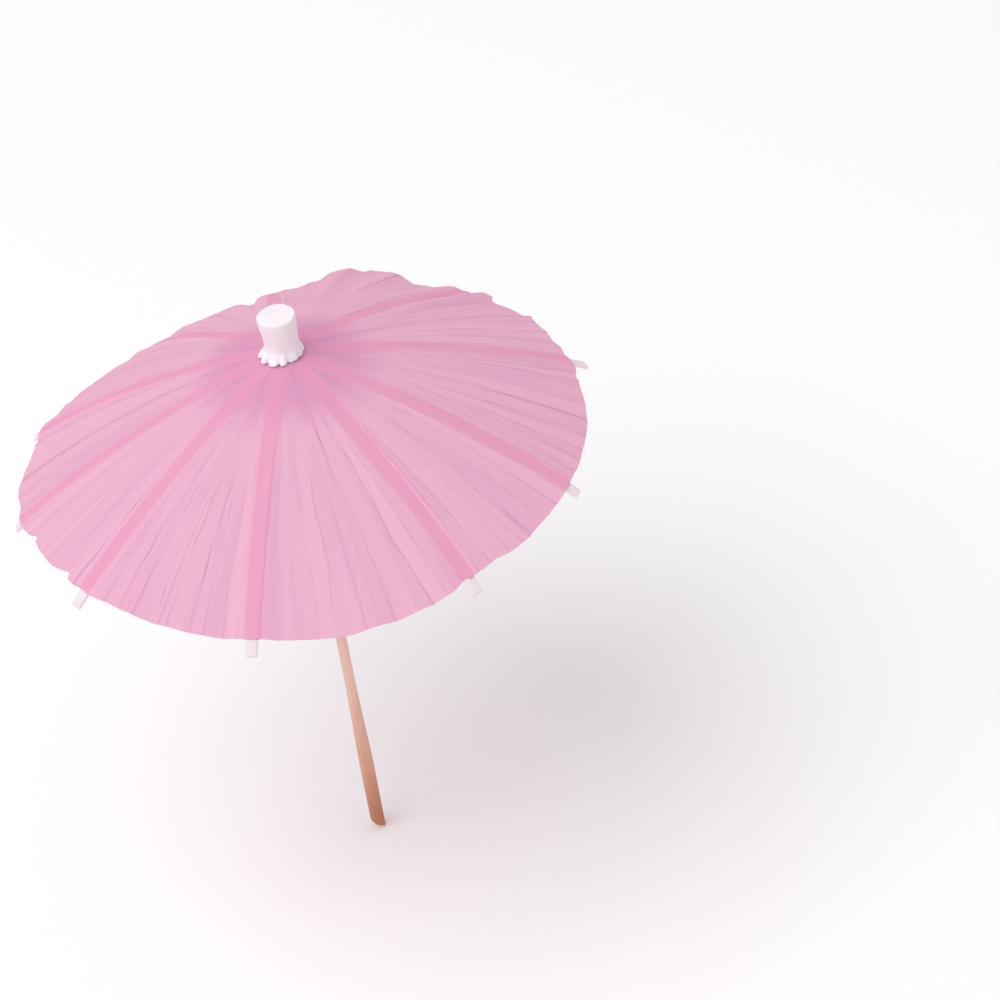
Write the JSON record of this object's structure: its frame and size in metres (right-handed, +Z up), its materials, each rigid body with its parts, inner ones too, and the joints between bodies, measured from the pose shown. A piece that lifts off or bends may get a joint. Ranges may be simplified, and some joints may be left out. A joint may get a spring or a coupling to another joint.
{
  "type": "cocktail umbrella pick",
  "caption": "Paper cocktail umbrella on a wooden pick: a creased pink paper canopy on card ribs and struts, which folds into pleats as a runner slides down the stick.",
  "frame": {"origin": "lowest point of the stick's slanted foot, on the stick's axis", "axes": "+Z up the stick towards the cap; -Y towards the picture's front rib"},
  "size_m": [0.0853, 0.0854, 0.1008],
  "materials": {
    "tissue_paper": "matte",
    "rib_card": "matte",
    "strut_card": "matte",
    "cap_paper": "satin",
    "rolled_paper": "matte",
    "collar_card": "matte",
    "stick_wood": "satin",
    "ring_plastic": "satin"
  },
  "bodies": {
    "handle": {"stick": "stick_wood", "crown_collar": "rolled_paper", "crown_disc": "rib_card", "canopy_centre": "tissue_paper", "cap": "cap_paper"},
    "runner": {"runner_sleeve": "rolled_paper", "runner_collar": "collar_card"},
    "ring": {"retaining_ring": "ring_plastic"},
    "rib_01": {"rib_01": "rib_card", "canopy_band_01": "tissue_paper"},
    "strut_01": {"strut_01": "strut_card"},
    "panel_01_left": {"canopy_panel_01_left": "tissue_paper"},
    "panel_01_right": {"canopy_panel_01_right": "tissue_paper"},
    "rib_02": {"rib_02": "rib_card", "canopy_band_02": "tissue_paper"},
    "strut_02": {"strut_02": "strut_card"},
    "panel_02_left": {"canopy_panel_02_left": "tissue_paper"},
    "panel_02_right": {"canopy_panel_02_right": "tissue_paper"},
    "rib_03": {"rib_03": "rib_card", "canopy_band_03": "tissue_paper"},
    "strut_03": {"strut_03": "strut_card"},
    "panel_03_left": {"canopy_panel_03_left": "tissue_paper"},
    "panel_03_right": {"canopy_panel_03_right": "tissue_paper"},
    "rib_04": {"rib_04": "rib_card", "canopy_band_04": "tissue_paper"},
    "strut_04": {"strut_04": "strut_card"},
    "panel_04_left": {"canopy_panel_04_left": "tissue_paper"},
    "panel_04_right": {"canopy_panel_04_right": "tissue_paper"},
    "rib_05": {"rib_05": "rib_card", "canopy_band_05": "tissue_paper"},
    "strut_05": {"strut_05": "strut_card"},
    "panel_05_left": {"canopy_panel_05_left": "tissue_paper"},
    "panel_05_right": {"canopy_panel_05_right": "tissue_paper"},
    "rib_06": {"rib_06": "rib_card", "canopy_band_06": "tissue_paper"},
    "strut_06": {"strut_06": "strut_card"},
    "panel_06_left": {"canopy_panel_06_left": "tissue_paper"},
    "panel_06_right": {"canopy_panel_06_right": "tissue_paper"},
    "rib_07": {"rib_07": "rib_card", "canopy_band_07": "tissue_paper"},
    "strut_07": {"strut_07": "strut_card"},
    "panel_07_left": {"canopy_panel_07_left": "tissue_paper"},
    "panel_07_right": {"canopy_panel_07_right": "tissue_paper"},
    "rib_08": {"rib_08": "rib_card", "canopy_band_08": "tissue_paper"},
    "strut_08": {"strut_08": "strut_card"},
    "panel_08_left": {"canopy_panel_08_left": "tissue_paper"},
    "panel_08_right": {"canopy_panel_08_right": "tissue_paper"},
    "rib_09": {"rib_09": "rib_card", "canopy_band_09": "tissue_paper"},
    "strut_09": {"strut_09": "strut_card"},
    "panel_09_left": {"canopy_panel_09_left": "tissue_paper"},
    "panel_09_right": {"canopy_panel_09_right": "tissue_paper"},
    "rib_10": {"rib_10": "rib_card", "canopy_band_10": "tissue_paper"},
    "strut_10": {"strut_10": "strut_card"},
    "panel_10_left": {"canopy_panel_10_left": "tissue_paper"},
    "panel_10_right": {"canopy_panel_10_right": "tissue_paper"}
  },
  "joints": [
    {"name": "runner_slide", "type": "slide", "parent": "handle", "child": "runner", "axis": [0, 0, -1], "range_m": [0, 0.02508]},
    {"name": "ring_slide", "type": "slide", "parent": "handle", "child": "ring", "axis": [0, 0, -1], "range_m": [0, 0.02508]},
    {"name": "rib_01_fold", "type": "hinge", "parent": "handle", "child": "rib_01", "pos_m": [0, -0.00247, 0.0934], "axis": [1, 0, 0], "range_deg": [0, 60.21]},
    {"name": "strut_01_fold", "type": "hinge", "parent": "rib_01", "child": "strut_01", "pos_m": [0, -0.02112, 0.08615], "axis": [1, 0, 0], "range_deg": [-120.41, 0]},
    {"name": "panel_01_left_crease", "type": "hinge", "parent": "rib_01", "child": "panel_01_left", "pos_m": [-0.0008, -0.00258, 0.09441], "axis": [0, 0.9219, 0.3875], "range_deg": [0, 67.94]},
    {"name": "panel_01_right_crease", "type": "hinge", "parent": "rib_01", "child": "panel_01_right", "pos_m": [0.0008, -0.00216, 0.09459], "axis": [0, -0.9219, -0.3875], "range_deg": [0, 64.37]},
    {"name": "rib_02_fold", "type": "hinge", "parent": "handle", "child": "rib_02", "pos_m": [0.0017, -0.00179, 0.0934], "axis": [0.7254, 0.6884, 0], "range_deg": [0, 60.21]},
    {"name": "strut_02_fold", "type": "hinge", "parent": "rib_02", "child": "strut_02", "pos_m": [0.01454, -0.01532, 0.08615], "axis": [0.7254, 0.6884, 0], "range_deg": [-120.41, 0]},
    {"name": "panel_02_left_crease", "type": "hinge", "parent": "rib_02", "child": "panel_02_left", "pos_m": [0.00091, -0.00212, 0.09459], "axis": [-0.6346, 0.6687, 0.3875], "range_deg": [0, 64.37]},
    {"name": "panel_02_right_crease", "type": "hinge", "parent": "rib_02", "child": "panel_02_right", "pos_m": [0.00267, -0.00165, 0.09422], "axis": [0.6346, -0.6687, -0.3875], "range_deg": [0, 71.03]},
    {"name": "rib_03_fold", "type": "hinge", "parent": "handle", "child": "rib_03", "pos_m": [0.00238, -0.00066, 0.0934], "axis": [0.2672, 0.9636, 0], "range_deg": [0, 60.21]},
    {"name": "strut_03_fold", "type": "hinge", "parent": "rib_03", "child": "strut_03", "pos_m": [0.02035, -0.00564, 0.08615], "axis": [0.2672, 0.9636, 0], "range_deg": [-120.41, 0]},
    {"name": "panel_03_left_crease", "type": "hinge", "parent": "rib_03", "child": "panel_03_left", "pos_m": [0.00272, -0.00158, 0.09422], "axis": [-0.8883, 0.2464, 0.3875], "range_deg": [0, 71.03]},
    {"name": "panel_03_right_crease", "type": "hinge", "parent": "rib_03", "child": "panel_03_right", "pos_m": [0.00245, 0.00015, 0.09452], "axis": [0.8883, -0.2464, -0.3875], "range_deg": [0, 65.86]},
    {"name": "rib_04_fold", "type": "hinge", "parent": "handle", "child": "rib_04", "pos_m": [0.00224, 0.00104, 0.0934], "axis": [-0.4226, 0.9063, 0], "range_deg": [0, 60.21]},
    {"name": "strut_04_fold", "type": "hinge", "parent": "rib_04", "child": "strut_04", "pos_m": [0.01914, 0.00893, 0.08615], "axis": [-0.4226, 0.9063, 0], "range_deg": [-120.41, 0]},
    {"name": "panel_04_left_crease", "type": "hinge", "parent": "rib_04", "child": "panel_04_left", "pos_m": [0.00244, 0.00026, 0.09452], "axis": [-0.8355, -0.3896, 0.3875], "range_deg": [0, 65.86]},
    {"name": "panel_04_right_crease", "type": "hinge", "parent": "rib_04", "child": "panel_04_right", "pos_m": [0.00194, 0.00179, 0.09444], "axis": [0.8355, 0.3896, -0.3875], "range_deg": [0, 67.41]},
    {"name": "rib_05_fold", "type": "hinge", "parent": "handle", "child": "rib_05", "pos_m": [0.00114, 0.00219, 0.0934], "axis": [-0.887, 0.4617, 0], "range_deg": [0, 60.21]},
    {"name": "strut_05_fold", "type": "hinge", "parent": "rib_05", "child": "strut_05", "pos_m": [0.00975, 0.01873, 0.08615], "axis": [-0.887, 0.4617, 0], "range_deg": [-120.41, 0]},
    {"name": "panel_05_left_crease", "type": "hinge", "parent": "rib_05", "child": "panel_05_left", "pos_m": [0.00187, 0.00186, 0.09444], "axis": [-0.4257, -0.8177, 0.3875], "range_deg": [0, 67.41]},
    {"name": "panel_05_right_crease", "type": "hinge", "parent": "rib_05", "child": "panel_05_right", "pos_m": [0.00028, 0.00226, 0.0946], "axis": [0.4257, 0.8177, -0.3875], "range_deg": [0, 64.13]},
    {"name": "rib_06_fold", "type": "hinge", "parent": "handle", "child": "rib_06", "pos_m": [-0.0007, 0.00237, 0.0934], "axis": [-0.9588, -0.284, 0], "range_deg": [0, 60.21]},
    {"name": "strut_06_fold", "type": "hinge", "parent": "rib_06", "child": "strut_06", "pos_m": [-0.006, 0.02025, 0.08615], "axis": [-0.9588, -0.284, 0], "range_deg": [-120.41, 0]},
    {"name": "panel_06_left_crease", "type": "hinge", "parent": "rib_06", "child": "panel_06_left", "pos_m": [0.00016, 0.00227, 0.0946], "axis": [0.2618, -0.8839, 0.3875], "range_deg": [0, 64.13]},
    {"name": "panel_06_right_crease", "type": "hinge", "parent": "rib_06", "child": "panel_06_right", "pos_m": [-0.00164, 0.00273, 0.0942], "axis": [-0.2618, 0.8839, -0.3875], "range_deg": [0, 71.33]},
    {"name": "rib_07_fold", "type": "hinge", "parent": "handle", "child": "rib_07", "pos_m": [-0.00181, 0.00168, 0.0934], "axis": [-0.682, -0.7314, 0], "range_deg": [0, 60.21]},
    {"name": "strut_07_fold", "type": "hinge", "parent": "rib_07", "child": "strut_07", "pos_m": [-0.01545, 0.0144, 0.08615], "axis": [-0.682, -0.7314, 0], "range_deg": [-120.41, 0]},
    {"name": "panel_07_left_crease", "type": "hinge", "parent": "rib_07", "child": "panel_07_left", "pos_m": [-0.00171, 0.00269, 0.0942], "axis": [0.6742, -0.6287, 0.3875], "range_deg": [0, 71.33]},
    {"name": "panel_07_right_crease", "type": "hinge", "parent": "rib_07", "child": "panel_07_right", "pos_m": [-0.00249, 0.00123, 0.09438], "axis": [-0.6742, 0.6287, -0.3875], "range_deg": [0, 68.47]},
    {"name": "rib_08_fold", "type": "hinge", "parent": "handle", "child": "rib_08", "pos_m": [-0.00245, 0.00032, 0.0934], "axis": [-0.1305, -0.9914, 0], "range_deg": [0, 60.21]},
    {"name": "strut_08_fold", "type": "hinge", "parent": "rib_08", "child": "strut_08", "pos_m": [-0.02094, 0.00276, 0.08615], "axis": [-0.1305, -0.9914, 0], "range_deg": [-120.41, 0]},
    {"name": "panel_08_left_crease", "type": "hinge", "parent": "rib_08", "child": "panel_08_left", "pos_m": [-0.00253, 0.00114, 0.09438], "axis": [0.914, -0.1203, 0.3875], "range_deg": [0, 68.47]},
    {"name": "panel_08_right_crease", "type": "hinge", "parent": "rib_08", "child": "panel_08_right", "pos_m": [-0.00317, -0.00039, 0.0942], "axis": [-0.914, 0.1203, -0.3875], "range_deg": [0, 71.33]},
    {"name": "rib_09_fold", "type": "hinge", "parent": "handle", "child": "rib_09", "pos_m": [-0.00227, -0.00097, 0.0934], "axis": [0.3907, -0.9205, 0], "range_deg": [0, 60.21]},
    {"name": "strut_09_fold", "type": "hinge", "parent": "rib_09", "child": "strut_09", "pos_m": [-0.01944, -0.00825, 0.08615], "axis": [0.3907, -0.9205, 0], "range_deg": [-120.41, 0]},
    {"name": "panel_09_left_crease", "type": "hinge", "parent": "rib_09", "child": "panel_09_left", "pos_m": [-0.00316, -0.00047, 0.0942], "axis": [0.8486, 0.3602, 0.3875], "range_deg": [0, 71.33]},
    {"name": "panel_09_right_crease", "type": "hinge", "parent": "rib_09", "child": "panel_09_right", "pos_m": [-0.00253, -0.00194, 0.0942], "axis": [-0.8486, -0.3602, -0.3875], "range_deg": [0, 71.33]},
    {"name": "rib_10_fold", "type": "hinge", "parent": "handle", "child": "rib_10", "pos_m": [-0.00147, -0.00199, 0.0934], "axis": [0.8039, -0.5948, 0], "range_deg": [0, 60.21]},
    {"name": "strut_10_fold", "type": "hinge", "parent": "rib_10", "child": "strut_10", "pos_m": [-0.01256, -0.01698, 0.08615], "axis": [0.8039, -0.5948, 0], "range_deg": [-120.41, 0]},
    {"name": "panel_10_left_crease", "type": "hinge", "parent": "rib_10", "child": "panel_10_left", "pos_m": [-0.00248, -0.00201, 0.0942], "axis": [0.5483, 0.741, 0.3875], "range_deg": [0, 71.33]},
    {"name": "panel_10_right_crease", "type": "hinge", "parent": "rib_10", "child": "panel_10_right", "pos_m": [-0.00089, -0.00255, 0.09441], "axis": [-0.5483, -0.741, -0.3875], "range_deg": [0, 67.94]}
  ],
  "couplings": [
    {"joint": "ring_slide", "follows": "runner_slide", "ratio": 1},
    {"joint": "rib_01_fold", "follows": "runner_slide", "rad_per_m": 41.898},
    {"joint": "strut_01_fold", "follows": "runner_slide", "rad_per_m": -83.796},
    {"joint": "panel_01_left_crease", "follows": "runner_slide", "rad_per_m": 47.275},
    {"joint": "panel_01_right_crease", "follows": "runner_slide", "rad_per_m": 44.796},
    {"joint": "rib_02_fold", "follows": "runner_slide", "rad_per_m": 41.898},
    {"joint": "strut_02_fold", "follows": "runner_slide", "rad_per_m": -83.796},
    {"joint": "panel_02_left_crease", "follows": "runner_slide", "rad_per_m": 44.796},
    {"joint": "panel_02_right_crease", "follows": "runner_slide", "rad_per_m": 49.428},
    {"joint": "rib_03_fold", "follows": "runner_slide", "rad_per_m": 41.898},
    {"joint": "strut_03_fold", "follows": "runner_slide", "rad_per_m": -83.796},
    {"joint": "panel_03_left_crease", "follows": "runner_slide", "rad_per_m": 49.428},
    {"joint": "panel_03_right_crease", "follows": "runner_slide", "rad_per_m": 45.83},
    {"joint": "rib_04_fold", "follows": "runner_slide", "rad_per_m": 41.898},
    {"joint": "strut_04_fold", "follows": "runner_slide", "rad_per_m": -83.796},
    {"joint": "panel_04_left_crease", "follows": "runner_slide", "rad_per_m": 45.83},
    {"joint": "panel_04_right_crease", "follows": "runner_slide", "rad_per_m": 46.905},
    {"joint": "rib_05_fold", "follows": "runner_slide", "rad_per_m": 41.898},
    {"joint": "strut_05_fold", "follows": "runner_slide", "rad_per_m": -83.796},
    {"joint": "panel_05_left_crease", "follows": "runner_slide", "rad_per_m": 46.905},
    {"joint": "panel_05_right_crease", "follows": "runner_slide", "rad_per_m": 44.627},
    {"joint": "rib_06_fold", "follows": "runner_slide", "rad_per_m": 41.898},
    {"joint": "strut_06_fold", "follows": "runner_slide", "rad_per_m": -83.796},
    {"joint": "panel_06_left_crease", "follows": "runner_slide", "rad_per_m": 44.627},
    {"joint": "panel_06_right_crease", "follows": "runner_slide", "rad_per_m": 49.636},
    {"joint": "rib_07_fold", "follows": "runner_slide", "rad_per_m": 41.898},
    {"joint": "strut_07_fold", "follows": "runner_slide", "rad_per_m": -83.796},
    {"joint": "panel_07_left_crease", "follows": "runner_slide", "rad_per_m": 49.636},
    {"joint": "panel_07_right_crease", "follows": "runner_slide", "rad_per_m": 47.65},
    {"joint": "rib_08_fold", "follows": "runner_slide", "rad_per_m": 41.898},
    {"joint": "strut_08_fold", "follows": "runner_slide", "rad_per_m": -83.796},
    {"joint": "panel_08_left_crease", "follows": "runner_slide", "rad_per_m": 47.65},
    {"joint": "panel_08_right_crease", "follows": "runner_slide", "rad_per_m": 49.636},
    {"joint": "rib_09_fold", "follows": "runner_slide", "rad_per_m": 41.898},
    {"joint": "strut_09_fold", "follows": "runner_slide", "rad_per_m": -83.796},
    {"joint": "panel_09_left_crease", "follows": "runner_slide", "rad_per_m": 49.636},
    {"joint": "panel_09_right_crease", "follows": "runner_slide", "rad_per_m": 49.636},
    {"joint": "rib_10_fold", "follows": "runner_slide", "rad_per_m": 41.898},
    {"joint": "strut_10_fold", "follows": "runner_slide", "rad_per_m": -83.796},
    {"joint": "panel_10_left_crease", "follows": "runner_slide", "rad_per_m": 49.636},
    {"joint": "panel_10_right_crease", "follows": "runner_slide", "rad_per_m": 47.275}
  ]
}
